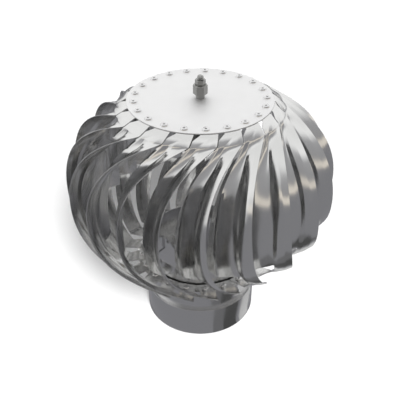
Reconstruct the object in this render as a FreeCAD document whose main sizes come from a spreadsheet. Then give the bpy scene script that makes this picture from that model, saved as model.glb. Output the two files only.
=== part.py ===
# Rotating chimney cowl: a stainless ball of twisted vanes that turns on a spindle above a flue collar.
# Millimetres, +Z up, origin at the centre of the collar's lower rim.
import math
import os

import FreeCAD
import Part
import Sketcher
from FreeCAD import Placement, Rotation, Vector

doc = FreeCAD.newDocument("rotating_chimney_cowl")
sheet = doc.addObject("Spreadsheet::Sheet", "sheet")
UP = Vector(0, 0, 1)
CENTRE = Vector(0, 0, 0)


class Size:
    """A value together with the sheet expression that gives it."""

    def __init__(self, value, text):
        self.value = value
        self.text = text

    def __add__(self, other):
        return Size(self.value + other.value, f"({self.text} + {other.text})")

    def __sub__(self, other):
        return Size(self.value - other.value, f"({self.text} - {other.text})")


NOUGHT = Size(0.0, "0")
rows = []


def size(alias, value, note):
    """Write one driving size into the sheet and hand it back."""
    rows.append(alias)
    row = len(rows)
    sheet.set(f"A{row}", alias)
    sheet.set(f"B{row}", str(value))
    sheet.setAlias(f"B{row}", alias)
    sheet.set(f"C{row}", note)
    return Size(float(value), f"sheet.{alias}")


# Collar and throat, the still part
collar_bore = size("collar_bore", 75.0, "inside radius of the collar, over a 150 mm flue")
collar_height = size("collar_height", 44.0, "collar from lower rim to shoulder")
base_wall = size("base_wall", 0.8, "sheet of collar and throat")
shoulder_width = size("shoulder_width", 2.0, "collar's shoulder from its bore in to the throat pipe")
throat_lap = size("throat_lap", 8.0, "collar's turned-up lip inside the throat pipe")
throat_rise = size("throat_rise", 71.0, "throat pipe above the shoulder")

# Bearing bridge in the throat
bridge_drop = size("bridge_drop", 44.0, "bridge's upper face below the throat's rim")
bridge_sheet = size("bridge_sheet", 2.5, "bridge plate thickness")
bridge_width = size("bridge_width", 44.0, "bridge across its length")
bridge_foot_height = size("bridge_foot_height", 18.0, "foot along the throat wall")
bridge_turn = size("bridge_turn", -62.5, "direction of one foot, degrees from +X")
foot_rivet_spread = size("foot_rivet_spread", 15.5, "foot rivet each side of the bridge line, degrees")
foot_margin = size("foot_margin", 6.0, "foot beyond its rivets, degrees")
foot_rivet_drop = size("foot_rivet_drop", 10.0, "foot rivets below the bridge's upper face")

# Bearing housing and spindle
spindle_radius = size("spindle_radius", 6.0, "spindle in the bushes")
running_gap = size("running_gap", 0.05, "radial play of the spindle in its bushes")
bush_wall = size("bush_wall", 3.0, "bronze bush wall")
bush_length = size("bush_length", 16.0, "bronze bush along the spindle")
bush_flange = size("bush_flange", 2.0, "thrust flange of the upper bush")
housing_wall = size("housing_wall", 3.0, "housing tube wall")
housing_height = size("housing_height", 84.0, "housing tube above the bridge")
housing_flange = size("housing_flange", 4.0, "housing foot flange thickness")
housing_flange_radius = size("housing_flange_radius", 29.0, "housing foot flange")
housing_bolt_circle = size("housing_bolt_circle", 21.5, "housing screws from the spindle axis")
screw_radius = size("screw_radius", 2.5, "housing screw shank")
screw_flats = size("screw_flats", 8.0, "housing screw head and nut across flats")
screw_head = size("screw_head", 3.5, "housing screw head height")
bolt_hole_gap = size("bolt_hole_gap", 0.2, "radial play round a screw or stud")
thrust_collar_radius = size("thrust_collar_radius", 12.0, "spindle collar above the upper bush")
thrust_collar_height = size("thrust_collar_height", 6.0, "spindle collar height")
thrust_gap = size("thrust_gap", 0.3, "end play over the upper bush and under the bridge")
clip_thickness = size("clip_thickness", 1.2, "retaining clip")
clip_width = size("clip_width", 3.5, "retaining clip outside the spindle")
clip_groove = size("clip_groove", 1.0, "clip groove depth in the spindle")
clip_mouth = size("clip_mouth", 9.0, "opening of the retaining clip")
bridge_gap = size("bridge_gap", 0.5, "radial gap between spindle and bridge")
spindle_tail = size("spindle_tail", 3.0, "spindle below the clip")

# Top disc and what holds it on the spindle
disc_height = size("disc_height", 322.0, "upper face of the disc above the collar's rim")
disc_radius = size("disc_radius", 87.5, "top disc")
disc_sheet = size("disc_sheet", 1.5, "top disc thickness")
stud_radius = size("stud_radius", 4.0, "threaded upper end of the spindle")
stud_height = size("stud_height", 28.0, "stud above the disc")
stud_chamfer = size("stud_chamfer", 1.0, "stud's end chamfer")
hub_radius = size("hub_radius", 30.0, "stiffening plate under the disc")
hub_sheet = size("hub_sheet", 3.0, "stiffening plate thickness")
spacer_wall = size("spacer_wall", 1.2, "spacer sleeve wall")
spacer_height = size("spacer_height", 5.5, "spacer sleeve on the disc")
clamp_flats = size("clamp_flats", 15.0, "clamping nut across flats")
clamp_height = size("clamp_height", 11.5, "clamping nut height")
lock_flats = size("lock_flats", 11.0, "lock nut across flats")
lock_height = size("lock_height", 6.5, "lock nut height")
nut_chamfer = size("nut_chamfer", 1.0, "height of the chamfer at a nut's corners")
thread_gap = size("thread_gap", 0.05, "radial play of a nut on its thread")

# Lower ring of the rotor
ring_drop = size("ring_drop", 24.0, "lower ring's upper face below the throat's rim")
ring_width = size("ring_width", 12.5, "lower ring from its bore to its outside")
ring_sheet = size("ring_sheet", 1.2, "lower ring thickness")
ring_gap = size("ring_gap", 2.0, "gap between throat pipe and ring skirt")
ring_skirt = size("ring_skirt", 10.0, "skirt turned down round the throat pipe")

# Rivets
disc_rivet_margin = size("disc_rivet_margin", 8.5, "disc's edge outside its rivets")
ring_rivet_inset = size("ring_rivet_inset", 5.5, "rivets of the lower ring outside its bore")
rivet_shank = size("rivet_shank", 2.0, "rivet shank radius")
rivet_head = size("rivet_head", 4.5, "rivet head radius")
rivet_crown = size("rivet_crown", 2.6, "flat crown of the rivet head, radius")
rivet_rise = size("rivet_rise", 1.6, "rivet head height")
rivet_hole = size("rivet_hole", 1.2, "mandrel hole in the rivet head, radius")
rivet_hole_depth = size("rivet_hole_depth", 1.2, "mandrel hole depth")
rivet_bulb = size("rivet_bulb", 2.8, "set end of a rivet, radius")
rivet_tail = size("rivet_tail", 2.5, "set end beyond the sheets")
rivet_play = size("rivet_play", 0.05, "radial play of a rivet in its hole")

# Vanes
vane_count = size("vane_count", 21, "vanes round the rotor")
vane_steps = size("vane_steps", 6, "cross-sections along each half of a vane")
vane_sheet = size("vane_sheet", 0.8, "vane thickness")
vane_half_angle = size("vane_half_angle", 8.2, "half width of a vane at its folds, degrees")
head_tab_end = size("head_tab_end", 7.5, "upper tab inside its rivet circle")
foot_tab_end = size("foot_tab_end", 0.5, "lower tab stops short of the ring's bore")
relief_angle = size("relief_angle", 4.5, "relieved side of the upper tab from its rivet, degrees")
relief_reach = size("relief_reach", 5.5, "relief beyond the upper fold")
head_overhang = size("head_overhang", 1.5, "upper fold outside the disc")
head_run = size("head_run", 11.4, "flat head of the vane outside the upper fold, measured level")
head_skew = size("head_skew", 2.3, "flat head turned back along its run, degrees")
head_droop = size("head_droop", 36.4, "slope of the flat head and of the edges below it, degrees")
foot_overhang = size("foot_overhang", 7.5, "lower fold outside the ring, at the inner edge")
tip_overhang = size("tip_overhang", 18.5, "lower fold outside the ring, at the outer edge")
foot_droop = size("foot_droop", 48.0, "slope of the vane at the lower fold, degrees")
foot_turn = size("foot_turn", 40.0, "lower fold's run turned outwards from the edge's chord, degrees")
bulge_drop = size("bulge_drop", 111.6, "widest point of a vane below the disc")
bulge_lean = size("bulge_lean", 7.5, "lean of both edges at their lower ends, degrees")
outer_bulge = size("outer_bulge", 169.4, "radius of the outer edge at the widest point")
outer_sweep = size("outer_sweep", 19.1, "outer edge behind its rivet there, degrees")
outer_head_reach = size("outer_head_reach", 10.0, "pull of the outer edge below the flat head")
outer_pull_up = size("outer_pull_up", 87.0, "pull of the outer edge above the widest point")
outer_pull_down = size("outer_pull_down", 62.5, "pull of the outer edge below the widest point")
outer_foot_reach = size("outer_foot_reach", 58.0, "pull of the outer edge at the lower fold")
leg_start = size("leg_start", 0.3, "share of the outer edge's lower curve beside the blade")
corner_drop = size("corner_drop", 160.0, "blade's lower inner corner below the disc")
corner_radius = size("corner_radius", 125.5, "radius of the blade's lower inner corner")
corner_sweep = size("corner_sweep", 34.4, "lower inner corner behind its rivet, degrees")
inner_head_reach = size("inner_head_reach", 73.0, "pull of the inner edge below the flat head")
inner_pull_up = size("inner_pull_up", 25.0, "pull of the inner edge above its lower corner")
crease_place = size("crease_place", 0.35, "share of the blade's flat that lies inside its crease")
crease_rise = size("crease_rise", 6.0, "crease above a straight line across the blade's flat")
crease_fade = size("crease_fade", 0.33, "share of the blade over which the crease rises")
hem_width = size("hem_width", 8.0, "hem bent back along the outer edge")
band_width = size("band_width", 9.0, "raised band beside the hem")
step_width = size("step_width", 5.0, "step from the flat of the vane up to the band")
band_height = size("band_height", 1.8, "band above the flat of the vane")

doc.recompute()


def origin_plane(body, role):
    """One of a body's own origin planes."""
    return next(f for f in body.Origin.OriginFeatures if f.Role == role)


def turned(name, profile):
    """A round piece: a closed profile of (radius, height) corners turned about Z."""
    body = doc.addObject("PartDesign::Body", name)
    sketch = body.newObject("Sketcher::SketchObject", name + "_profile")
    sketch.AttachmentSupport = [(origin_plane(body, "XZ_Plane"), "")]
    sketch.MapMode = "FlatFace"
    corners = [Vector(radius.value, height.value, 0) for radius, height in profile]
    for corner, following in zip(corners, corners[1:] + corners[:1]):
        sketch.addGeometry(Part.LineSegment(corner, following))
    for index in range(len(corners)):
        sketch.addConstraint(
            Sketcher.Constraint("Coincident", index, 2, (index + 1) % len(corners), 1)
        )
    for index, (radius, height) in enumerate(profile):
        for kind, axis, place in (("DistanceX", -2, radius), ("DistanceY", -1, height)):
            if place is NOUGHT:
                sketch.addConstraint(Sketcher.Constraint("PointOnObject", index, 1, axis))
                continue
            number = sketch.addConstraint(
                Sketcher.Constraint(kind, -1, 1, index, 1, place.value)
            )
            sketch.setExpression(f"Constraints[{number}]", place.text)
    turn = body.newObject("PartDesign::Revolution", name + "_turn")
    turn.Profile = sketch
    turn.ReferenceAxis = (sketch, ["V_Axis"])
    turn.Angle = 360
    sketch.Visibility = False
    return body


def blank(name, profile):
    """The shape of a turned piece before its holes are drilled."""
    body = turned(name, profile)
    doc.recompute()
    return body.Shape


def piece(name, shape):
    """A piece whose shape is worked out here from the sheet's values."""
    feature = doc.addObject("Part::Feature", name)
    feature.Shape = shape
    return feature


def polar(radius, degrees, height):
    """A point given by radius, angle and height."""
    angle = math.radians(degrees)
    return Vector(radius * math.cos(angle), radius * math.sin(angle), height)


def spun(shape, degrees):
    """A copy of a shape turned about Z."""
    return shape.transformed(Placement(CENTRE, Rotation(UP, degrees)).Matrix, True)


def drill(radius, distance, bottom, top):
    """A cutting cylinder parallel to Z, on the X axis."""
    return Part.makeCylinder(radius.value, top.value - bottom.value, Vector(distance, 0, bottom.value))


def ring_of(shape):
    """Copies of a shape, one for each vane."""
    return [spun(shape, 360.0 / vanes * index) for index in range(vanes)]


# Heights and radii that several pieces share
vanes = int(vane_count.value)
throat_rim = collar_height + throat_rise
throat_radius = collar_bore - shoulder_width
throat_bore = throat_radius - base_wall
bridge_top = throat_rim - bridge_drop
bridge_under = bridge_top - bridge_sheet
housing_top = bridge_top + housing_height
bush_bore = spindle_radius + running_gap
housing_bore = bush_bore + bush_wall
housing_outside = housing_bore + housing_wall
disc_under = disc_height - disc_sheet
hub_under = disc_under - hub_sheet
stud_hole = stud_radius + bolt_hole_gap
ring_height = throat_rim - ring_drop
ring_under = ring_height - ring_sheet
ring_bore = throat_radius + ring_gap
ring_radius = ring_bore + ring_width
rivet_hole_radius = rivet_shank + rivet_play
disc_rivet_circle = disc_radius - disc_rivet_margin
ring_rivet_circle = ring_bore + ring_rivet_inset

# Collar: slips over the flue, its upper edge turned in and up to hold the throat pipe
collar_outside = collar_bore + base_wall
shoulder_under = collar_height - base_wall
lip_top = collar_height + throat_lap
lip_bore = throat_bore - base_wall
turned(
    "base_collar",
    [
        (collar_bore, NOUGHT),
        (collar_outside, NOUGHT),
        (collar_outside, collar_height),
        (throat_bore, collar_height),
        (throat_bore, lip_top),
        (lip_bore, lip_top),
        (lip_bore, shoulder_under),
        (collar_bore, shoulder_under),
    ],
)

# Throat pipe: carries the bearing bridge and reaches up through the rotor's lower ring
throat_blank = blank(
    "throat_blank",
    [
        (throat_bore, collar_height),
        (throat_radius, collar_height),
        (throat_radius, throat_rim),
        (throat_bore, throat_rim),
    ],
)
foot_rivet_height = bridge_top - foot_rivet_drop
foot_rivet_angles = [
    bridge_turn.value + half_turn + side * foot_rivet_spread.value
    for half_turn in (0, 180)
    for side in (-1, 1)
]
foot_hole = Part.makeCylinder(
    rivet_hole_radius.value,
    throat_bore.value,
    Vector(throat_bore.value / 2, 0, foot_rivet_height.value),
    Vector(1, 0, 0),
)
foot_holes = [spun(foot_hole, angle) for angle in foot_rivet_angles]
piece("throat_pipe", throat_blank.cut(foot_holes))

# Bridge: a flat strip across the throat with a foot curved to the wall at each end
foot_half_angle = (foot_rivet_spread + foot_margin).value
foot_base = Vector(0, 0, (bridge_top - bridge_foot_height).value)
foot_sector = Part.makeCylinder(
    throat_bore.value, bridge_foot_height.value, foot_base, UP, 2 * foot_half_angle
)
foot_core = Part.makeCylinder(
    (throat_bore - bridge_sheet).value, bridge_foot_height.value, foot_base
)
foot = spun(foot_sector.cut(foot_core), -foot_half_angle)
strip = Part.makeBox(
    2 * throat_bore.value,
    bridge_width.value,
    bridge_sheet.value,
    Vector(-throat_bore.value, -bridge_width.value / 2, bridge_under.value),
)
strip_limit = Part.makeCylinder(throat_bore.value, bridge_foot_height.value, foot_base)
bridge = strip.common(strip_limit).fuse([foot, spun(foot, 180)]).removeSplitter()
screw_hole = screw_radius + bolt_hole_gap
screw_places = [side * housing_bolt_circle.value for side in (-1, 1)]
bridge_holes = [drill(screw_hole, place, bridge_under, bridge_top) for place in screw_places]
bridge_holes.append(drill(spindle_radius + bridge_gap, 0, bridge_under, bridge_top))
piece("bearing_bridge", spun(bridge.cut(bridge_holes), bridge_turn.value).cut(foot_holes))

# Housing: an upright tube on a flange, screwed to the bridge
flange_top = bridge_top + housing_flange
housing_blank = blank(
    "housing_blank",
    [
        (housing_bore, bridge_top),
        (housing_flange_radius, bridge_top),
        (housing_flange_radius, flange_top),
        (housing_outside, flange_top),
        (housing_outside, housing_top),
        (housing_bore, housing_top),
    ],
)
flange_holes = [drill(screw_hole, place, bridge_top, flange_top) for place in screw_places]
piece("bearing_housing", spun(housing_blank.cut(flange_holes), bridge_turn.value))

# Bushes: the upper one has a flange that takes the rotor's weight
turned(
    "upper_bush",
    [
        (bush_bore, housing_top - bush_length),
        (housing_bore, housing_top - bush_length),
        (housing_bore, housing_top),
        (housing_outside, housing_top),
        (housing_outside, housing_top + bush_flange),
        (bush_bore, housing_top + bush_flange),
    ],
)
turned(
    "lower_bush",
    [
        (bush_bore, bridge_top),
        (housing_bore, bridge_top),
        (housing_bore, bridge_top + bush_length),
        (bush_bore, bridge_top + bush_length),
    ],
)


def hexagon(flats, bottom, height):
    """An upright hexagonal prism with its corners chamfered at the top."""
    across = flats / (2 * math.cos(math.radians(30)))
    corners = [polar(across, 60 * index, bottom) for index in range(7)]
    prism = Part.Face(Part.makePolygon(corners)).extrude(Vector(0, 0, height))
    spread = (across - flats / 2) * height / nut_chamfer.value
    cone = Part.makeCone(flats / 2 + spread, flats / 2, height, Vector(0, 0, bottom))
    return prism.common(cone)


# Screws and nuts that hold the housing down
screw_reach = housing_flange + bridge_sheet + screw_head
screw = hexagon(screw_flats.value, flange_top.value, screw_head.value).fuse(
    Part.makeCylinder(
        screw_radius.value,
        screw_reach.value,
        Vector(0, 0, flange_top.value - screw_reach.value),
    )
)
screw_nut = hexagon(screw_flats.value, bridge_under.value - screw_head.value, screw_head.value).cut(
    drill(screw_radius + thread_gap, 0, bridge_under - screw_head, bridge_under)
)
for name, shape in (("housing_screws", screw.removeSplitter()), ("housing_nuts", screw_nut)):
    pair = [shape.translated(Vector(place, 0, 0)) for place in screw_places]
    piece(name, spun(Part.makeCompound(pair), bridge_turn.value))

# Spindle: runs in the bushes, hangs on its collar and carries the rotor on its stud
thrust_face = housing_top + bush_flange + thrust_gap
thrust_top = thrust_face + thrust_collar_height
clip_top = bridge_under - thrust_gap
clip_bottom = clip_top - clip_thickness
clip_seat = spindle_radius - clip_groove
stud_top = disc_height + stud_height
turned(
    "spindle",
    [
        (NOUGHT, clip_bottom - spindle_tail),
        (spindle_radius, clip_bottom - spindle_tail),
        (spindle_radius, clip_bottom),
        (clip_seat, clip_bottom),
        (clip_seat, clip_top),
        (spindle_radius, clip_top),
        (spindle_radius, thrust_face),
        (thrust_collar_radius, thrust_face),
        (thrust_collar_radius, thrust_top),
        (spindle_radius, thrust_top),
        (spindle_radius, hub_under),
        (stud_radius, hub_under),
        (stud_radius, stud_top - stud_chamfer),
        (stud_radius - stud_chamfer, stud_top),
        (NOUGHT, stud_top),
    ],
)

# Retaining clip: an open ring in the spindle's groove under the bridge
clip_outside = spindle_radius + clip_width
clip_blank = blank(
    "clip_blank",
    [
        (clip_seat, clip_bottom),
        (clip_outside, clip_bottom),
        (clip_outside, clip_top),
        (clip_seat, clip_top),
    ],
)
mouth = Part.makeBox(
    clip_outside.value,
    clip_mouth.value,
    clip_thickness.value,
    Vector(0, -clip_mouth.value / 2, clip_bottom.value),
)
piece("retaining_clip", clip_blank.cut(mouth))

# Stiffening plate and disc, clamped on the spindle's shoulder
turned(
    "hub_plate",
    [
        (stud_hole, hub_under),
        (hub_radius, hub_under),
        (hub_radius, disc_under),
        (stud_hole, disc_under),
    ],
)
disc_blank = blank(
    "disc_blank",
    [
        (stud_hole, disc_under),
        (disc_radius, disc_under),
        (disc_radius, disc_height),
        (stud_hole, disc_height),
    ],
)
disc_hole = drill(rivet_hole_radius, disc_rivet_circle.value, disc_under, disc_height)
piece("top_disc", disc_blank.cut(ring_of(disc_hole)))

# Spacer sleeve, clamping nut and lock nut on the stud
spacer_top = disc_height + spacer_height
clamp_top = spacer_top + clamp_height
turned(
    "spacer_sleeve",
    [
        (stud_hole, disc_height),
        (stud_hole + spacer_wall, disc_height),
        (stud_hole + spacer_wall, spacer_top),
        (stud_hole, spacer_top),
    ],
)
for name, flats, bottom, height in (
    ("clamp_nut", clamp_flats, spacer_top, clamp_height),
    ("lock_nut", lock_flats, clamp_top, lock_height),
):
    bore = drill(stud_radius + thread_gap, 0, bottom, bottom + height)
    piece(name, hexagon(flats.value, bottom.value, height.value).cut(bore))

# Lower ring: a flat ring for the vanes' feet with a skirt round the throat pipe
skirt_outside = ring_bore + ring_sheet
ring_blank = blank(
    "ring_blank",
    [
        (ring_bore, ring_under - ring_skirt),
        (skirt_outside, ring_under - ring_skirt),
        (skirt_outside, ring_under),
        (ring_radius, ring_under),
        (ring_radius, ring_height),
        (ring_bore, ring_height),
    ],
)
ring_hole = drill(rivet_hole_radius, ring_rivet_circle.value, ring_under, ring_height)
piece("lower_ring", ring_blank.cut(ring_of(ring_hole)))


def rivet(grip):
    """A blind rivet on the Z axis, the sheets it holds lying below its head from z = 0."""
    end = grip + rivet_tail.value
    outline = [
        (0, rivet_rise.value - rivet_hole_depth.value),
        (rivet_hole.value, rivet_rise.value - rivet_hole_depth.value),
        (rivet_hole.value, rivet_rise.value),
        (rivet_crown.value, rivet_rise.value),
        (rivet_head.value, 0),
        (rivet_shank.value, 0),
        (rivet_shank.value, -grip),
        (rivet_bulb.value, -grip),
        (rivet_shank.value, -end),
        (0, -end),
    ]
    corners = [Vector(radius, 0, height) for radius, height in outline]
    return Part.Face(Part.makePolygon(corners + corners[:1])).revolve(CENTRE, UP, 360)


# Rivets through the disc, the lower ring and the bridge's feet
disc_rivet = rivet((disc_sheet + vane_sheet).value)
disc_rivet.translate(Vector(disc_rivet_circle.value, 0, disc_height.value))
piece("disc_rivets", Part.makeCompound(ring_of(disc_rivet)))
ring_rivet = rivet((ring_sheet + vane_sheet).value)
ring_rivet.translate(Vector(ring_rivet_circle.value, 0, (ring_height + vane_sheet).value))
piece("ring_rivets", Part.makeCompound(ring_of(ring_rivet)))
foot_bore = (throat_bore - bridge_sheet).value
foot_rivet = rivet(throat_radius.value - math.sqrt(foot_bore**2 - rivet_bulb.value**2))
foot_rivet.rotate(CENTRE, Vector(0, 1, 0), 90)
foot_rivet.translate(Vector(throat_radius.value, 0, foot_rivet_height.value))
piece("bridge_rivets", Part.makeCompound([spun(foot_rivet, angle) for angle in foot_rivet_angles]))


def level(start, end):
    """Unit vector from one point towards another, kept level."""
    return Vector(end.x - start.x, end.y - start.y, 0).normalize()


def sloped(run, reach, degrees):
    """The pull of an edge where it leaves a fold along a level run, tilted up by an angle."""
    angle = math.radians(degrees)
    return run * (reach * math.cos(angle)) + UP * (reach * math.sin(angle))


def curve_points(poles, shares):
    """Points at given shares of a curve."""
    curve = Part.BezierCurve()
    curve.setPoles(poles)
    return [curve.value(share) for share in shares]


def band_line(outer, across, facing, lift):
    """Corners across the outer strip of a vane: step up to the band, then hem back to the edge."""
    return [
        outer - across * (hem_width + band_width + step_width).value,
        outer - across * (hem_width + band_width).value + facing * lift,
        outer - across * hem_width.value + facing * lift,
        outer,
    ]


def blade_line(inner, outer, facing, lift, rise):
    """Corners across the blade: the flat with its crease, and the outer strip."""
    strip = band_line(outer, (outer - inner).normalize(), facing, lift)
    crease = inner + (strip[0] - inner) * crease_place.value + facing * rise
    return [inner, crease] + strip


def sheet_section(front, facing):
    """Closed outline of the sheet behind a line of corners."""
    back = [corner - facing * vane_sheet.value for corner in reversed(front)]
    return Part.makePolygon(front + back + front[:1])


def flat_tab(corners, thickness, hole_radius, hole_place):
    """A flat tab with its rivet hole."""
    plate = Part.Face(Part.makePolygon(corners + corners[:1])).extrude(UP * thickness)
    hole = Part.makeCylinder(hole_radius, 4 * abs(thickness), hole_place - UP * 2 * abs(thickness))
    return plate.cut(hole)


def vane_shape():
    """One vane on the X axis: upper tab, flat head, twisted blade, leg and lower tab in one sheet."""
    half = vane_half_angle.value
    fold = (disc_radius + head_overhang).value
    head_radius = fold + head_run.value
    head_height = disc_under.value - head_run.value * math.tan(math.radians(head_droop.value))
    inner_fold, outer_fold = [polar(fold, side * half, disc_under.value) for side in (-1, 1)]
    inner_head, outer_head = [
        polar(head_radius, side * half - head_skew.value, head_height) for side in (-1, 1)
    ]
    bulge = polar(outer_bulge.value, -outer_sweep.value, (disc_height - bulge_drop).value)
    corner = polar(corner_radius.value, -corner_sweep.value, (disc_height - corner_drop).value)
    inner_foot = polar((ring_radius + foot_overhang).value, -half, ring_height.value)
    outer_foot = polar((ring_radius + tip_overhang).value, half, ring_height.value)

    # The outer edge is two curves that meet at the widest point; the inner edge is one
    bulge_rise = Rotation(level(CENTRE, bulge), bulge_lean.value).multVec(UP)
    corner_rise = Rotation(level(CENTRE, corner), bulge_lean.value).multVec(UP)
    foot_run = Rotation(UP, foot_turn.value).multVec(level(outer_foot, bulge))
    upper_poles = [
        outer_head,
        outer_head + sloped(level(outer_head, bulge), outer_head_reach.value, -head_droop.value),
        bulge + bulge_rise * outer_pull_up.value,
        bulge,
    ]
    lower_poles = [
        bulge,
        bulge - bulge_rise * outer_pull_down.value,
        outer_foot + sloped(foot_run, outer_foot_reach.value, foot_droop.value),
        outer_foot,
    ]
    inner_poles = [
        inner_head,
        inner_head + sloped(level(inner_head, corner), inner_head_reach.value, -head_droop.value),
        corner + corner_rise * inner_pull_up.value,
        corner,
    ]
    shares = [index / vane_steps.value for index in range(int(vane_steps.value) + 1)]
    outer = curve_points(upper_poles, shares)
    outer += curve_points(lower_poles, [leg_start.value / 2, leg_start.value])
    last = len(outer) - 1
    inner = curve_points(inner_poles, [index / last for index in range(last + 1)])

    # Blade, from the flat head down to its lower edge
    middle = [(inner_fold + outer_fold) / 2] + [(a + b) / 2 for a, b in zip(inner, outer)]
    sections = []
    for index in range(last + 1):
        along = middle[min(index + 2, last + 1)] - middle[index]
        facing = along.cross(outer[index] - inner[index]).normalize()
        rise = crease_rise.value * min(1, index / last / crease_fade.value)
        line = blade_line(inner[index], outer[index], facing, band_height.value, rise)
        sections.append(sheet_section(line, facing))
    blade = Part.makeLoft(sections, True, False)
    fold_line = blade_line(inner_fold, outer_fold, UP, 0, 0)
    flat_head = Part.makeLoft([sheet_section(fold_line, UP), sections[0]], True, True)

    # Leg: the outer strip alone goes on to the lower fold
    leg = curve_points(lower_poles, [leg_start.value + (1 - leg_start.value) * share for share in shares])
    blade_across = (outer[last] - inner[last]).normalize()
    foot_across = (outer_foot - inner_foot).normalize()
    leg_sections = [sheet_section(line[2:], facing)]
    for index in range(1, len(leg) - 1):
        across = (blade_across * (1 - shares[index]) + foot_across * shares[index]).normalize()
        facing = (leg[index + 1] - leg[index - 1]).cross(across).normalize()
        lift = band_height.value * min(1, 2 - 2 * shares[index])
        leg_sections.append(sheet_section(band_line(leg[index], across, facing, lift), facing))
    foot_line = band_line(outer_foot, foot_across, UP * -1, 0)
    leg_sections.append(sheet_section(foot_line, UP * -1))
    leg_strip = Part.makeLoft(leg_sections, True, False)

    head_end = (disc_rivet_circle - head_tab_end).value
    head_tab = flat_tab(
        [
            inner_fold,
            outer_fold,
            polar(head_end, half, disc_under.value),
            polar(head_end, -half, disc_under.value),
        ],
        -vane_sheet.value,
        rivet_hole_radius.value,
        Vector(disc_rivet_circle.value, 0, disc_under.value),
    )
    foot_end = (ring_bore + foot_tab_end).value
    foot_tab = flat_tab(
        [
            foot_line[0],
            outer_foot,
            polar(foot_end, half, ring_height.value),
            polar(foot_end, -half, ring_height.value),
        ],
        vane_sheet.value,
        rivet_hole_radius.value,
        Vector(ring_rivet_circle.value, 0, ring_height.value),
    )
    whole = blade.fuse([flat_head, leg_strip, head_tab, foot_tab]).removeSplitter()
    relief = Part.Face(
        Part.makePolygon(
            [
                polar(fold, -relief_angle.value, head_height),
                polar(fold + relief_reach.value, -half - head_skew.value, head_height),
                polar(fold, -2 * half, head_height),
                polar(head_end / 2, -2 * half, head_height),
                polar(head_end / 2, -relief_angle.value, head_height),
                polar(fold, -relief_angle.value, head_height),
            ]
        )
    )
    return whole.cut(relief.extrude(UP * (2 * head_run.value)))


# Vanes: one pressed shape, repeated round the rotor
vane = vane_shape()
vane_names = [f"vane_{index + 1:02d}" for index in range(vanes)]
for index, name in enumerate(vane_names):
    piece(name, vane).Placement = Placement(CENTRE, Rotation(UP, 360.0 / vanes * index))

NODES = [
    "base_collar",
    "throat_pipe",
    "bearing_bridge",
    "bridge_rivets",
    "bearing_housing",
    "housing_screws",
    "housing_nuts",
    "upper_bush",
    "lower_bush",
    "spindle",
    "retaining_clip",
    "hub_plate",
    "top_disc",
    "disc_rivets",
    "spacer_sleeve",
    "clamp_nut",
    "lock_nut",
    "lower_ring",
    "ring_rivets",
] + vane_names

doc.recompute()
for item in doc.Objects:
    if "Invalid" in item.State or "Error" in item.State:
        raise RuntimeError(f"{item.Name} failed to build")
os.makedirs("parts", exist_ok=True)
for name in NODES:
    node = doc.getObject(name)
    node.Label = name
    if node.Shape.isNull() or not node.Shape.isValid():
        raise RuntimeError(f"{name} has no valid shape")
    node.Shape.exportStep(f"parts/{name}.step")
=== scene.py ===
# Rotating chimney cowl: a ball of twisted stainless vanes that turns on a spindle above a flue collar.
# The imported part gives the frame, the bodies and the hidden pieces; sizes below are in millimetres.
import math

import bmesh
import bpy
from mathutils import Matrix, Vector


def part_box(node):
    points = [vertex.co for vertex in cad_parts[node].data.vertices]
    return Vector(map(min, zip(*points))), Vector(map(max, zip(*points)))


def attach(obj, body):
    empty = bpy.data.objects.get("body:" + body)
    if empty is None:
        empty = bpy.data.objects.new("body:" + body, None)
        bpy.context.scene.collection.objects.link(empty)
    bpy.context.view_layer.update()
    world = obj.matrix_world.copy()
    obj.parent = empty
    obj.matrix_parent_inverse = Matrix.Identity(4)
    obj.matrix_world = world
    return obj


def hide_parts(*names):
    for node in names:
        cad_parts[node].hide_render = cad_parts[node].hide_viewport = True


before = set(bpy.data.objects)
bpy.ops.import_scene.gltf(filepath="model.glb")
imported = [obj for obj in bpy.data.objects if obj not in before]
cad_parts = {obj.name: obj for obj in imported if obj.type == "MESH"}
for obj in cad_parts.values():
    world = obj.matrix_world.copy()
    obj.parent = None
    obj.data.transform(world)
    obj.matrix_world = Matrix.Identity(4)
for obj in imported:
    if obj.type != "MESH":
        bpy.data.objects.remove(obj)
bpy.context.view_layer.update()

# Collar: a short tube of bright-rolled stainless sheet that slips over the flue. Its upper edge is
# turned in to a narrow shoulder and up again into a lip, which the throat pipe stands round.
MM = 0.001
merge_gap = 0.001
sharp_angle = 30.0
edge_segments = 2
round_steps = 160
collar_bore = 75.0
collar_height = 44.0
base_wall = 0.8
base_edge = 0.25
lip_rise = 8.0
throat_radius = 73.0
throat_bore = throat_radius - base_wall
lip_bore = throat_bore - base_wall
lip_top = collar_height + lip_rise
shoulder_under = collar_height - base_wall


def spin_profile(bm, profile, steps, closed=True):
    """Turn a profile of (radius, height) corners right round the spindle axis."""
    corners = [bm.verts.new((radius * MM, 0, height * MM)) for radius, height in profile]
    ends = corners[1:] + corners[:1] if closed else corners[1:]
    edges = [bm.edges.new(pair) for pair in zip(corners, ends)]
    bmesh.ops.spin(
        bm,
        geom=corners + edges,
        axis=(0, 0, 1),
        angle=2 * math.pi,
        steps=steps,
        use_merge=True,
    )
    bmesh.ops.remove_doubles(bm, verts=bm.verts, dist=merge_gap * MM)
    bmesh.ops.recalc_face_normals(bm, faces=bm.faces)


def ease_edges(bm, width):
    """Round every sharp edge."""
    limit = math.radians(sharp_angle)
    sharp = [edge for edge in bm.edges if edge.is_manifold and edge.calc_face_angle() > limit]
    bmesh.ops.bevel(
        bm,
        geom=sharp,
        offset=width * MM,
        segments=edge_segments,
        profile=0.5,
        affect="EDGES",
        material=-1,
        clamp_overlap=True,
    )


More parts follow.
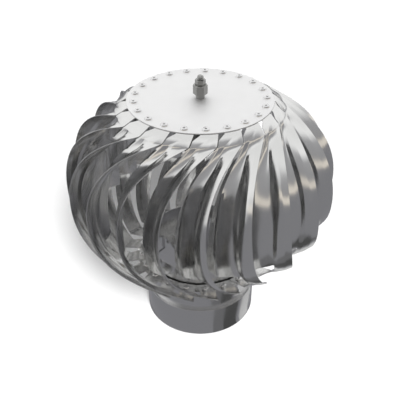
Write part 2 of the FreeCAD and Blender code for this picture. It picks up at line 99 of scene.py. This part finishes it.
def new_object(bm, name, material):
    """Turn a finished bmesh into an object of the scene."""
    mesh = bpy.data.meshes.new(name)
    bm.to_mesh(mesh)
    bm.free()
    mesh.materials.append(material)
    made = bpy.data.objects.new(name, mesh)
    bpy.context.scene.collection.objects.link(made)
    return made


def finish_piece(bm, name, body, material, node):
    """Make the mesh a piece that rides on its body in place of its CAD node."""
    made = new_object(bm, name, material)
    for face in made.data.polygons:
        face.use_smooth = True
    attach(made, body)
    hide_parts(node)
    return made


def linear(code):
    """An sRGB hex colour as linear RGBA."""
    parts = [int(code[i : i + 2], 16) / 255 for i in (1, 3, 5)]
    return [c / 12.92 if c <= 0.04045 else ((c + 0.055) / 1.055) ** 2.4 for c in parts] + [1]


def add_node(tree, kind, inputs=(), **settings):
    """Add a node, set it up, and link or fill its inputs."""
    made = tree.nodes.new(kind)
    for name, value in settings.items():
        setattr(made, name, value)
    for name, value in dict(inputs).items():
        if isinstance(value, bpy.types.NodeSocket):
            tree.links.new(value, made.inputs[name])
        else:
            made.inputs[name].default_value = value
    return made


# Patches of finer and coarser surface are about a finger's width across on all the metal. The middle of the
# noise's range, where nearly all of it lies, goes from the smoothest to the dullest patch.
cloud_size = 18.0
cloud_detail = 4.0
cloud_low = 0.3
cloud_high = 0.7
wave_detail = 1.0


def steel(name, colour, smooth, dull, wave_size, wave_depth):
    """Bare metal: roughness from smooth to dull in cloudy patches, and slow waves in the surface."""
    material = bpy.data.materials.new(name)
    material.use_nodes = True
    tree = material.node_tree
    shader = tree.nodes["Principled BSDF"]
    place = add_node(tree, "ShaderNodeTexCoord").outputs["Object"]
    cloud = add_node(
        tree,
        "ShaderNodeTexNoise",
        {"Vector": place, "Scale": 1 / (cloud_size * MM), "Detail": cloud_detail},
    )
    rough = add_node(
        tree,
        "ShaderNodeMapRange",
        {
            "Value": cloud.outputs["Fac"],
            "From Min": cloud_low,
            "From Max": cloud_high,
            "To Min": smooth,
            "To Max": dull,
        },
    )
    wave = add_node(
        tree,
        "ShaderNodeTexNoise",
        {"Vector": place, "Scale": 1 / (wave_size * MM), "Detail": wave_detail},
    )
    bump = add_node(
        tree,
        "ShaderNodeBump",
        {"Height": wave.outputs["Fac"], "Strength": 1.0, "Distance": wave_depth * MM},
    )
    tree.links.new(rough.outputs["Result"], shader.inputs["Roughness"])
    tree.links.new(bump.outputs["Normal"], shader.inputs["Normal"])
    shader.inputs["Base Color"].default_value = linear(colour)
    shader.inputs["Metallic"].default_value = 1.0
    return material


# Bright-rolled stainless, as it leaves the mill: a mirror with a slight haze, which draws the room as
# upright bands with soft edges on a round wall.
bright_stainless = steel(
    "bright_rolled_stainless", "#CFCFCF", smooth=0.18, dull=0.26, wave_size=40.0, wave_depth=0.04
)

collar = bmesh.new()
spin_profile(
    collar,
    [
        (collar_bore, 0),
        (collar_bore + base_wall, 0),
        (collar_bore + base_wall, collar_height),
        (throat_bore, collar_height),
        (throat_bore, lip_top),
        (lip_bore, lip_top),
        (lip_bore, shoulder_under),
        (collar_bore, shoulder_under),
    ],
    round_steps,
)
ease_edges(collar, base_edge)
finish_piece(collar, "collar_sheet", "base", bright_stainless, "base_collar")

# Throat pipe: a plain tube of the same bright stainless sheet. It stands on the collar's shoulder, round
# the lip, and reaches up through the rotor's lower ring.
throat_rim = 115.0

throat = bmesh.new()
spin_profile(
    throat,
    [
        (throat_bore, collar_height),
        (throat_radius, collar_height),
        (throat_radius, throat_rim),
        (throat_bore, throat_rim),
    ],
    round_steps,
)
ease_edges(throat, base_edge)
finish_piece(throat, "throat_tube", "base", bright_stainless, "throat_pipe")


# Bearing group inside the throat: a stainless bridge and housing, held by plated screws and nuts, with
# bronze bushes pressed in. They are seen only through the gaps between vanes, so each keeps its CAD
# shape, with smooth round walls.
def merged_copy(node):
    """A CAD node's shape with its loose triangles joined."""
    bm = bmesh.new()
    bm.from_mesh(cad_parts[node].data)
    bmesh.ops.remove_doubles(bm, verts=bm.verts, dist=merge_gap * MM)
    return bm


def keep_corners(bm, sharper_than):
    """Mark edges that are sharper than an angle, so that smooth shading stops there."""
    limit = math.radians(sharper_than)
    for edge in bm.edges:
        edge.smooth = not edge.is_manifold or edge.calc_face_angle() < limit


def copy_piece(node, name, body, material):
    """A CAD node's own shape as a finished piece."""
    bm = merged_copy(node)
    keep_corners(bm, sharp_angle)
    finish_piece(bm, name, body, material, node)


# Bright zinc plating on turned steel: a sharp mirror of a darker grey than the sheet round it.
plated_steel = steel(
    "bright_zinc_plated_steel", "#929290", smooth=0.06, dull=0.14, wave_size=12.0, wave_depth=0.02
)
# Sintered bronze, pressed from powder and soaked in oil: dull brown with a broad soft shine.
bronze = steel("sintered_bronze", "#A07A45", smooth=0.35, dull=0.5, wave_size=6.0, wave_depth=0.03)

copy_piece("bearing_bridge", "bridge_strip", "base", bright_stainless)
copy_piece("bearing_housing", "housing_tube", "base", bright_stainless)
copy_piece("housing_screws", "flange_screws", "base", plated_steel)
copy_piece("housing_nuts", "flange_nuts", "base", plated_steel)
copy_piece("upper_bush", "bush_above", "base", bronze)
copy_piece("lower_bush", "bush_below", "base", bronze)

# Spindle: a turned and plated steel bar with a thrust collar. A clip in its groove keeps the rotor from
# lifting. Its threaded end goes through a stiffening plate, the disc and a sleeve, with two nuts on top.
# The thread shows only above the upper nut: the bar is cut there, and a core with a wound ridge goes on.
thread_pitch = 1.25
thread_root = 3.4
thread_crest = 4.0
thread_sunk = 0.1
thread_land = 0.05
thread_steps = 24
stud_chamfer = thread_crest - thread_root
stud_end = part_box("spindle")[1][2] / MM
nut_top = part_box("lock_nut")[1][2] / MM
thread_start = nut_top - thread_pitch
thread_turns = int((stud_end - stud_chamfer - nut_top) / thread_pitch)
core_profile = [
    (0, thread_start),
    (thread_root, thread_start),
    (thread_root, stud_end - stud_chamfer),
    (thread_root - stud_chamfer, stud_end),
    (0, stud_end),
]
ridge_profile = [
    (thread_root - thread_sunk, thread_start + thread_land),
    (thread_crest, thread_start + thread_pitch / 2),
    (thread_root - thread_sunk, thread_start + thread_pitch - thread_land),
]

copy_piece("retaining_clip", "spring_clip", "rotor", plated_steel)
copy_piece("hub_plate", "stiffening_plate", "rotor", plated_steel)
spindle = merged_copy("spindle")
bmesh.ops.bisect_plane(
    spindle,
    geom=spindle.verts[:] + spindle.edges[:] + spindle.faces[:],
    plane_co=(0, 0, nut_top * MM),
    plane_no=(0, 0, 1),
    clear_outer=True,
)
bmesh.ops.holes_fill(spindle, edges=[edge for edge in spindle.edges if edge.is_boundary])
spin_profile(spindle, core_profile, thread_steps, closed=False)
ridge_start = [spindle.verts.new((radius * MM, 0, height * MM)) for radius, height in ridge_profile]
bmesh.ops.spin(
    spindle,
    geom=[spindle.faces.new(ridge_start)],
    axis=(0, 0, 1),
    dvec=(0, 0, thread_pitch * MM / thread_steps),
    angle=2 * math.pi * thread_turns,
    steps=thread_steps * thread_turns,
)
bmesh.ops.recalc_face_normals(spindle, faces=spindle.faces)
keep_corners(spindle, sharp_angle)
finish_piece(spindle, "spindle_bar", "rotor", plated_steel, "spindle")
copy_piece("spacer_sleeve", "spacer_tube", "rotor", plated_steel)
copy_piece("clamp_nut", "clamping_nut", "rotor", plated_steel)
copy_piece("lock_nut", "locking_nut", "rotor", plated_steel)

# Top disc: one blank of flat stainless sheet with a satin face, clamped on the spindle. The vanes' upper
# tabs are riveted under its edge.
disc_height = 322.0
disc_radius = 87.5
disc_sheet = 1.5
disc_edge = 0.4
disc_under = disc_height - disc_sheet
stud_hole = 4.2

# Satin stainless: too fine a grain to see, so the disc is an even pale grey, with only a soft dark patch
# where the stud stands on it.
satin_stainless = steel(
    "satin_stainless", "#E8E8E8", smooth=0.58, dull=0.64, wave_size=60.0, wave_depth=0.02
)

disc = bmesh.new()
spin_profile(
    disc,
    [
        (stud_hole, disc_under),
        (disc_radius, disc_under),
        (disc_radius, disc_height),
        (stud_hole, disc_height),
    ],
    round_steps,
)
ease_edges(disc, disc_edge)
finish_piece(disc, "disc_sheet", "rotor", satin_stainless, "top_disc")

# Lower ring: a flat ring of polished stainless that carries the vanes' feet. Its inner edge is turned down
# into a skirt, which clears the throat pipe.
ring_height = 91.0
ring_radius = 87.5
ring_sheet = 1.2
ring_edge = 0.3
ring_bore = 75.0
ring_under = ring_height - ring_sheet
skirt_length = 10.0
skirt_bottom = ring_under - skirt_length

# Mirror-polished stainless sheet: sharp, high-contrast reflections of the room and of the next vane,
# bent a little by the waves that pressing leaves in thin sheet.
polished_stainless = steel(
    "mirror_polished_stainless", "#D2D2D1", smooth=0.15, dull=0.22, wave_size=60.0, wave_depth=0.05
)

ring = bmesh.new()
spin_profile(
    ring,
    [
        (ring_bore, skirt_bottom),
        (ring_bore + ring_sheet, skirt_bottom),
        (ring_bore + ring_sheet, ring_under),
        (ring_radius, ring_under),
        (ring_radius, ring_height),
        (ring_bore, ring_height),
    ],
    round_steps,
)
ease_edges(ring, ring_edge)
finish_piece(ring, "foot_ring", "rotor", polished_stainless, "lower_ring")

# Vanes: each is one pressed sheet of polished stainless. A relieved tab under the disc folds down into a
# flat head. The blade below it sweeps back and out and widens to a straight lower edge. A raised band and a
# hem run down its outer edge and go on alone, as a leg, to a tab on the lower ring.
vane_count = 21
vane_sheet = 0.8
vane_half_angle = 8.2
vane_rim = 0.2
vane_rim_angle = 60.0
head_tab_end = 71.5
head_overhang = 1.5
head_run = 11.4
head_skew = 2.3
head_droop = 36.4
relief_angle = 4.5
relief_reach = 5.5
foot_tab_gap = 0.5
foot_inner_overhang = 7.5
foot_outer_overhang = 18.5
foot_droop = 48.0
foot_turn = 40.0
bulge_radius = 169.4
bulge_angle = -19.1
bulge_drop = 111.6
bulge_lean = 7.5
blade_corner_radius = 125.5
blade_corner_angle = -34.4
blade_corner_drop = 160.0
outer_head_pull = 10.0
bulge_upper_pull = 87.0
bulge_lower_pull = 62.5
outer_foot_pull = 58.0
inner_head_pull = 73.0
blade_corner_pull = 25.0
leg_start = 0.3
crease_place = 0.35
crease_rise = 6.0
crease_fade = 0.33
hem_width = 8.0
band_width = 9.0
step_width = 5.0
band_height = 1.8
bend_ease = 0.5
UP = Vector((0, 0, 1))


def on_circle(radius, degrees, height):
    """A point by radius, angle and height."""
    turn = math.radians(degrees)
    return Vector((radius * math.cos(turn), radius * math.sin(turn), height))


def level(start, end):
    """Direction from one point to another, kept level."""
    return Vector((end.x - start.x, end.y - start.y, 0)).normalized()


def sloped(run, reach, degrees):
    """The pull of an edge that leaves a fold along a level run, tilted up by an angle."""
    tilt = math.radians(degrees)
    return run * (reach * math.cos(tilt)) + UP * (reach * math.sin(tilt))


def leaning(place):
    """Upright direction at a place, leaned sideways."""
    return Matrix.Rotation(math.radians(bulge_lean), 3, level(Vector(), place)) @ UP


def along_curve(poles, share):
    """A point at a share of a curve with four control points."""
    a, b, c, d = poles
    rest = 1 - share
    return a * rest**3 + b * (3 * rest**2 * share) + c * (3 * rest * share**2) + d * share**3


def both_sides(radius, skew, height):
    """The inner and outer end of a straight line across the vane."""
    return [on_circle(radius, side * vane_half_angle - skew, height) for side in (-1, 1)]


head_fold = disc_radius + head_overhang
head_radius = head_fold + head_run
head_height = disc_under - head_run * math.tan(math.radians(head_droop))
inner_head, outer_head = both_sides(head_radius, head_skew, head_height)
bulge = on_circle(bulge_radius, bulge_angle, disc_height - bulge_drop)
blade_corner = on_circle(blade_corner_radius, blade_corner_angle, disc_height - blade_corner_drop)
inner_foot = on_circle(ring_radius + foot_inner_overhang, -vane_half_angle, ring_height)
outer_foot = on_circle(ring_radius + foot_outer_overhang, vane_half_angle, ring_height)
foot_run = Matrix.Rotation(math.radians(foot_turn), 3, UP) @ level(outer_foot, bulge)
outer_upper = [
    outer_head,
    outer_head + sloped(level(outer_head, bulge), outer_head_pull, -head_droop),
    bulge + leaning(bulge) * bulge_upper_pull,
    bulge,
]
outer_lower = [
    bulge,
    bulge - leaning(bulge) * bulge_lower_pull,
    outer_foot + sloped(foot_run, outer_foot_pull, foot_droop),
    outer_foot,
]
inner_curve = [
    inner_head,
    inner_head + sloped(level(inner_head, blade_corner), inner_head_pull, -head_droop),
    blade_corner + leaning(blade_corner) * blade_corner_pull,
    blade_corner,
]

# Rows of points down the blade and the leg. The blade's rows pair shares of the inner edge with the
# outer edge's upper curve and the first part of its lower one.
bulge_row = 42
blade_rows = 56
leg_rows = 28
flat_columns = 5
slope_step = 0.01


def outer_point(row):
    """The outer edge beside a row of the blade."""
    if row <= bulge_row:
        return along_curve(outer_upper, row / bulge_row)
    return along_curve(outer_lower, leg_start * (row - bulge_row) / (blade_rows - bulge_row))


def strip_line(outer, across, facing, lift):
    """Points across the outer strip: eased step up to the band, eased bend and hem to the edge."""
    bend = hem_width + band_width
    places = [
        (bend + step_width - bend_ease, bend_ease / step_width),
        (bend + bend_ease, 1 - bend_ease / step_width),
        (bend - bend_ease, 1),
        (hem_width + bend_ease, 1),
        (hem_width - bend_ease, 1 - bend_ease / hem_width),
        (hem_width / 2, 0.5),
        (0, 0),
    ]
    return [outer - across * inset + facing * (lift * share) for inset, share in places]


def blade_row(row):
    """Points across the blade, a flat with a soft crease and then the outer strip, and its direction."""
    inner = along_curve(inner_curve, row / blade_rows)
    outer = outer_point(row)
    before = max(row - 1, 0)
    after = min(row + 1, blade_rows)
    along = along_curve(inner_curve, after / blade_rows) + outer_point(after)
    along -= along_curve(inner_curve, before / blade_rows) + outer_point(before)
    across = (outer - inner).normalized()
    facing = along.cross(across).normalized()
    flat_end = outer - across * (hem_width + band_width + step_width)
    rise = crease_rise * min(1, row / blade_rows / crease_fade)
    crease = inner.lerp(flat_end, crease_place) + facing * rise
    shares = [column / flat_columns for column in range(flat_columns)]
    flat = [inner.lerp(crease, share) for share in shares]
    flat += [crease.lerp(flat_end, share) for share in shares]
    flat.append(flat_end - across * bend_ease)
    return flat + strip_line(outer, across, facing, band_height), across


def leg_row(row, blade_across):
    """Points across the leg, whose band fades out over its lower half."""
    share = row / leg_rows
    place = leg_start + (1 - leg_start) * share
    across = blade_across.lerp((outer_foot - inner_foot).normalized(), share).normalized()
    along = along_curve(outer_lower, min(place + slope_step, 1))
    along -= along_curve(outer_lower, place - slope_step)
    facing = along.cross(across).normalized()
    lift = band_height * min(1, 2 - 2 * share)
    return strip_line(along_curve(outer_lower, place), across, facing, lift)


def straight_row(ends, count):
    """Evenly spaced points between two ends."""
    return [ends[0].lerp(ends[1], index / (count - 1)) for index in range(count)]


blade = [blade_row(row) for row in range(blade_rows + 1)]
blade_lines = [points for points, across in blade]
lower_across = blade[-1][1]
leg_lines = [leg_row(row, lower_across) for row in range(1, leg_rows + 1)]
relief_share = relief_reach / head_run
relief_height = disc_under + (head_height - disc_under) * relief_share
tab_line = both_sides(head_tab_end, 0, disc_under)
fold_line = both_sides(head_fold, 0, disc_under)
tab_line[0] = on_circle(head_tab_end, -relief_angle, disc_under)
fold_line[0] = on_circle(head_fold, -relief_angle, disc_under)
relief_line = both_sides(head_fold + relief_reach, head_skew * relief_share, relief_height)
foot_line = both_sides(ring_bore + foot_tab_gap, 0, ring_height)
lines = [straight_row(ends, len(blade_lines[0])) for ends in (tab_line, fold_line, relief_line)]
lines += blade_lines + leg_lines
lines.append(straight_row(foot_line, len(leg_lines[0])))

for number in range(vane_count):
    vane = bmesh.new()
    turn = Matrix.Rotation(2 * math.pi * number / vane_count, 3, "Z")
    rows = [[vane.verts.new(turn @ point * MM) for point in line] for line in lines]
    for upper, lower in zip(rows, rows[1:]):
        for right in range(1, min(len(upper), len(lower))):
            vane.faces.new((upper[-right - 1], lower[-right - 1], lower[-right], upper[-right]))
    place = f"{number + 1:02d}"
    sheet = finish_piece(
        vane,
        "vane_sheet_" + place,
        "rotor",
        polished_stainless,
        "vane_" + place,
    )
    thickness = sheet.modifiers.new("sheet", "SOLIDIFY")
    thickness.thickness = vane_sheet * MM
    thickness.offset = -1
    rim = sheet.modifiers.new("rim", "BEVEL")
    rim.width = vane_rim * MM
    rim.segments = edge_segments
    rim.limit_method = "ANGLE"
    rim.angle_limit = math.radians(vane_rim_angle)
    rim.harden_normals = True

# Blind rivets: low stainless heads with the broken mandrel sunk in the middle. One ring holds the vanes to
# the disc, one to the lower ring, and four rivets hold the bridge's feet in the throat.
rivet_shank = 2.0
rivet_head = 4.5
rivet_rise = 1.6
rivet_flat = 3.7
rivet_flat_rise = 1.55
rivet_shoulder = 4.0
rivet_shoulder_rise = 1.35
mandrel_radius = 1.15
mandrel_depth = 1.2
mouth_radius = 1.3
mouth_edge = 1.5
mouth_rise = 1.5
tail_radius = 2.8
tail_waist = 2.6
tail_straight = 1.4
tail_length = 2.5
rivet_steps = 20
rivet_sharp_angle = 50.0
disc_rivet_circle = 79.0
ring_rivet_circle = 80.5
bridge_foot_sheet = 2.5
bridge_angle = -62.5
foot_rivet_spread = 15.5
foot_rivet_height = 61.0

# Bright-drawn stainless: a small clear mirror, so that a head shows a pale top, a grey flank and a dark
# hole.
rivet_stainless = steel(
    "bright_rivet_stainless", "#D2D2D2", smooth=0.08, dull=0.14, wave_size=6.0, wave_depth=0.02
)


def rivet_group(name, places, grip, body, node):
    """Rivets at a list of places, joined as one piece. A rivet's head stands on its own z = 0."""
    one = bmesh.new()
    profile = [
        (0, -mandrel_depth),
        (mandrel_radius, -mandrel_depth),
        (mouth_radius, mouth_rise),
        (mouth_edge, rivet_rise),
        (rivet_flat, rivet_flat_rise),
        (rivet_shoulder, rivet_shoulder_rise),
        (rivet_head, 0),
        (rivet_shank, 0),
        (rivet_shank, -grip),
        (tail_radius, -grip),
        (tail_waist, -grip - tail_straight),
        (rivet_shank, -grip - tail_length),
        (0, -grip - tail_length),
    ]
    spin_profile(one, profile, rivet_steps, closed=False)
    keep_corners(one, rivet_sharp_angle)
    pattern = bpy.data.meshes.new("rivet_pattern")
    one.to_mesh(pattern)
    one.free()
    group = bmesh.new()
    for place in places:
        first = len(group.verts)
        group.from_mesh(pattern)
        group.verts.ensure_lookup_table()
        bmesh.ops.transform(group, matrix=place, verts=group.verts[first:])
    bpy.data.meshes.remove(pattern)
    finish_piece(group, name, body, rivet_stainless, node)


def round_axis(degrees):
    """A turn about the spindle axis."""
    return Matrix.Rotation(math.radians(degrees), 4, "Z")


def shifted(x, z):
    """A move along X and Z, in millimetres."""
    return Matrix.Translation((x * MM, 0, z * MM))


vane_angles = [360 * number / vane_count for number in range(vane_count)]
on_disc = shifted(disc_rivet_circle, disc_height)
rivet_group(
    "disc_rivet_heads",
    [round_axis(angle) @ on_disc for angle in vane_angles],
    disc_sheet + vane_sheet,
    "rotor",
    "disc_rivets",
)
on_ring = shifted(ring_rivet_circle, ring_height + vane_sheet)
rivet_group(
    "ring_rivet_heads",
    [round_axis(angle) @ on_ring for angle in vane_angles],
    ring_sheet + vane_sheet,
    "rotor",
    "ring_rivets",
)
foot_middles = (bridge_angle, bridge_angle + 180)
foot_angles = [middle + side * foot_rivet_spread for middle in foot_middles for side in (-1, 1)]
on_throat = shifted(throat_radius, foot_rivet_height) @ Matrix.Rotation(math.radians(90), 4, "Y")
foot_bore = throat_bore - bridge_foot_sheet
rivet_group(
    "foot_rivet_heads",
    [round_axis(angle) @ on_throat for angle in foot_angles],
    throat_radius - math.sqrt(foot_bore**2 - tail_radius**2),
    "base",
    "bridge_rivets",
)

# Studio: a pale floor in white surroundings, with one soft light from the front. Cards that show only in the
# metal stand for the room round it: bright walls behind and at the sides, a grey wall in front with a warm
# glow on it, a grey floor, and wedges on that floor for the bands in the collar. Wide sizes are in metres.
scene = bpy.context.scene
scene.view_settings.view_transform = "Standard"
white = "#FFFFFF"
sky_fill = 0.22
sky_white = 1.0
floor_width = 10.0
floor_drop = 0.5
paper_glow = 0.12
card_width = 5.8
card_drop = 0.3
wedge_reach = 200.0
wedge_drop = 0.2


def seen_directly(tree):
    """1 where a ray comes straight from the camera, a mirror or a clear body, and 0 elsewhere."""
    path = add_node(tree, "ShaderNodeLightPath").outputs
    either = add_node(
        tree,
        "ShaderNodeMath",
        {0: path["Is Camera Ray"], 1: path["Is Glossy Ray"]},
        operation="MAXIMUM",
    )
    any_of_them = add_node(
        tree,
        "ShaderNodeMath",
        {0: either.outputs[0], 1: path["Is Transmission Ray"]},
        operation="MAXIMUM",
    )
    return any_of_them.outputs[0]


world = bpy.data.worlds.new("white_studio")
scene.world = world
world.use_nodes = True
sky = world.node_tree
sky_strength = add_node(
    sky, "ShaderNodeMapRange", {"Value": seen_directly(sky), "To Min": sky_fill, "To Max": sky_white}
)
sky.nodes["Background"].inputs["Color"].default_value = linear(white)
sky.links.new(sky_strength.outputs["Result"], sky.nodes["Background"].inputs["Strength"])


def stage_piece(bm, name, material):
    """Turn a finished bmesh into an object of the scene; the studio's floor, cards and walls are made with
    it.
    """
    made = new_object(bm, name, material)
    return made


def level_card(name, width, drop, material):
    """A level square by its width in metres and its drop below the collar's rim."""
    bm = bmesh.new()
    bmesh.ops.create_grid(
        bm, x_segments=1, y_segments=1, size=width / 2, matrix=Matrix.Translation((0, 0, -drop * MM))
    )
    return stage_piece(bm, name, material)


def bare_material(name):
    """A material with no shader yet."""
    material = bpy.data.materials.new(name)
    material.use_nodes = True
    material.node_tree.nodes.remove(material.node_tree.nodes["Principled BSDF"])
    return material


# White paper: matt, with a little light of its own so that it meets the white surroundings with no line.
paper = bare_material("white_paper")
tree = paper.node_tree
matt = add_node(tree, "ShaderNodeBsdfDiffuse", {"Color": linear("#F0F0F0")})
glow = add_node(tree, "ShaderNodeEmission", {"Color": linear(white), "Strength": seen_directly(tree)})
both = add_node(tree, "ShaderNodeMixShader", {0: paper_glow, 1: matt.outputs[0], 2: glow.outputs[0]})
tree.links.new(both.outputs[0], tree.nodes["Material Output"].inputs["Surface"])
level_card("floor", floor_width, floor_drop, paper)


def only_in_metal(item):
    """Show a studio card in reflections alone."""
    item.visible_camera = False
    item.visible_diffuse = False
    item.visible_transmission = False
    item.visible_shadow = False


def glowing(name, colour):
    """An evenly lit card."""
    material = bare_material(name)
    tree = material.node_tree
    light = add_node(tree, "ShaderNodeEmission", {"Color": linear(colour)})
    tree.links.new(light.outputs[0], tree.nodes["Material Output"].inputs["Surface"])
    return material


def floor_wedge(name, first, last, colour):
    """A card on the floor that shows in the collar as an upright band between two angles."""
    bm = bmesh.new()
    corners = []
    for degrees, reach in ((first, 0), (first, wedge_reach), (last, wedge_reach), (last, 0)):
        foot = on_circle(collar_bore + base_wall, degrees, -wedge_drop)
        corners.append(bm.verts.new((foot + on_circle(reach, 90 + 2 * degrees, 0)) * MM))
    bm.faces.new(corners)
    only_in_metal(stage_piece(bm, name, glowing(name, colour)))


only_in_metal(level_card("floor_card", card_width, card_drop, glowing("grey_card", "#929296")))
floor_wedge("soft_wedge", -76, -64, "#79797B")
floor_wedge("dark_wedge", -64, -47, "#565656")
floor_wedge("pale_wedge", -42, -24, "#D6D6D6")

# The walls are the inside of one sphere. The back wall and the front wall each have a ramp of colours by
# height, as a share of the radius, and one blends into the other round the sides.
surround_radius = 3.0
surround_strength = 1.2
surround_columns = 48
surround_rows = 24
glow_turn = math.radians(-70)
front_from = -0.05
front_to = 0.3
back_wall = [(0.0, "#E0E0E0"), (0.15, "#F0F0F0"), (0.35, white), (0.7, white), (1.0, "#F0F0F0")]
front_wall = [
    (0.0, "#86868A"),
    (0.28, "#86868A"),
    (0.31, "#F0E8DC"),
    (0.43, "#F0E8DC"),
    (0.50, "#9A9A9C"),
    (0.60, "#9E9EA0"),
    (0.84, "#A8A8AA"),
    (0.93, white),
]

surround = glowing("studio_surround", white)
tree = surround.node_tree
axes = add_node(
    tree, "ShaderNodeSeparateXYZ", {0: add_node(tree, "ShaderNodeTexCoord").outputs["Object"]}
).outputs
part_x = add_node(tree, "ShaderNodeMath", {0: axes["X"], 1: math.cos(glow_turn)}, operation="MULTIPLY")
towards = add_node(
    tree,
    "ShaderNodeMath",
    {0: axes["Y"], 1: math.sin(glow_turn), 2: part_x.outputs[0]},
    operation="MULTIPLY_ADD",
)
side = add_node(
    tree,
    "ShaderNodeMapRange",
    {
        "Value": towards.outputs[0],
        "From Min": front_from * surround_radius,
        "From Max": front_to * surround_radius,
    },
)
climb = add_node(tree, "ShaderNodeMapRange", {"Value": axes["Z"], "From Max": surround_radius})


def wall_colour(stops):
    """The colour of a wall by its height."""
    ramp = add_node(tree, "ShaderNodeValToRGB", {"Fac": climb.outputs["Result"]})
    for extra in stops[2:]:
        ramp.color_ramp.elements.new(1.0)
    for element, (height, colour) in zip(ramp.color_ramp.elements, stops):
        element.position = height
        element.color = linear(colour)
    return ramp.outputs["Color"]


# Inputs 6 and 7 and output 2 are the mix node's colour sockets.
room = add_node(
    tree,
    "ShaderNodeMix",
    {"Factor": side.outputs["Result"], 6: wall_colour(back_wall), 7: wall_colour(front_wall)},
    data_type="RGBA",
)
tree.links.new(room.outputs[2], tree.nodes["Emission"].inputs["Color"])
tree.nodes["Emission"].inputs["Strength"].default_value = surround_strength
dome = bmesh.new()
bmesh.ops.create_uvsphere(
    dome, u_segments=surround_columns, v_segments=surround_rows, radius=surround_radius
)
only_in_metal(stage_piece(dome, "studio_surround", surround))

# The light comes from in front and a little from the right, so the shadow falls behind the cowl.
light_energy = 4.8
light_width = 16.0
light_from = on_circle(1.11, -75, 1.0)

sun = bpy.data.lights.new("front_light", "SUN")
sun.energy = light_energy
sun.angle = math.radians(light_width)
lamp = bpy.data.objects.new("front_light", sun)
lamp.rotation_euler = light_from.to_track_quat("Z", "Y").to_euler()
lamp.visible_glossy = False
scene.collection.objects.link(lamp)

# Camera: the photograph's place, in front of the cowl and above it, looking down on the disc. Its lens and
# place come from the outlines of the disc, the collar and the rivet circle.
camera_lens = 54.0
camera_sensor = 36.0
camera_place = Vector((-0.35, -648.5, 632.2))
camera_dip = 35.25

camera_data = bpy.data.cameras.new("camera")
camera_data.lens = camera_lens
camera_data.sensor_width = camera_sensor
camera = bpy.data.objects.new("camera", camera_data)
camera.location = camera_place * MM
camera.rotation_euler = (math.radians(90 - camera_dip), 0, 0)
scene.collection.objects.link(camera)
scene.camera = camera
